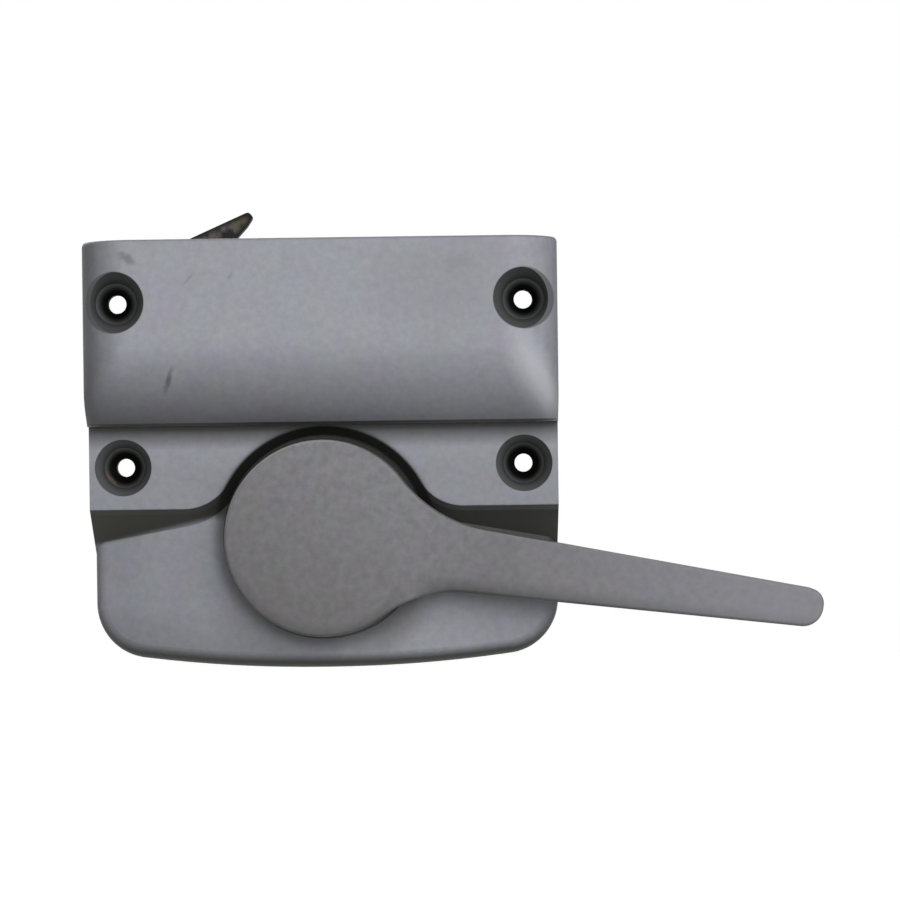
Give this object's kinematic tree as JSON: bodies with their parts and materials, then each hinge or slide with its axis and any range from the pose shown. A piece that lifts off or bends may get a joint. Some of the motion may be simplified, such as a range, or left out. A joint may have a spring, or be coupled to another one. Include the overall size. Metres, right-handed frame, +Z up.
{
  "type": "casement sash lock",
  "caption": "Casement sash lock: a rolled die-cast housing, a tapering lever on a round hub and a steel hook that swings out of the top edge to draw the sash shut.",
  "frame": {"origin": "middle of the four screw holes, on the mounting plane", "axes": "+X to the right as fixed, +Z up, the front faces -Y and the mounting plane is Y = 0"},
  "size_m": [0.1078, 0.021, 0.0684],
  "materials": {
    "housing_paint": "satin metallic grey paint on die-cast zinc",
    "handle_paint": "satin metallic grey paint, handled",
    "hook_steel": "dark browned stamped steel",
    "plated_steel": "dull zinc plate"
  },
  "bodies": {
    "housing": {"housing": "housing_paint", "pivot_pin": "plated_steel", "hook_washer": "plated_steel"},
    "handle": {"handle": "handle_paint", "spring_washer": "plated_steel", "thrust_washer": "plated_steel", "crank": "plated_steel", "crank_rivet": "plated_steel"},
    "link": {"link": "plated_steel"},
    "hook": {"hook": "hook_steel", "hook_rivet": "plated_steel"}
  },
  "joints": [
    {"name": "handle_turn", "type": "hinge", "parent": "housing", "child": "handle", "pos_m": [0, -0.008, -0.0226], "axis": [0, 1, 0], "range_deg": [0, 70]},
    {"name": "hook_swing", "type": "hinge", "parent": "housing", "child": "hook", "pos_m": [0, -0.004, 0.012], "axis": [0, 1, 0], "range_deg": [0, 70]},
    {"name": "link_swing", "type": "hinge", "parent": "handle", "child": "link", "pos_m": [0.00866, -0.002, -0.0176], "axis": [0, 1, 0], "range_deg": [-70, 0]}
  ],
  "couplings": [
    {"joint": "hook_swing", "follows": "handle_turn", "ratio": 1},
    {"joint": "link_swing", "follows": "handle_turn", "ratio": -1}
  ]
}
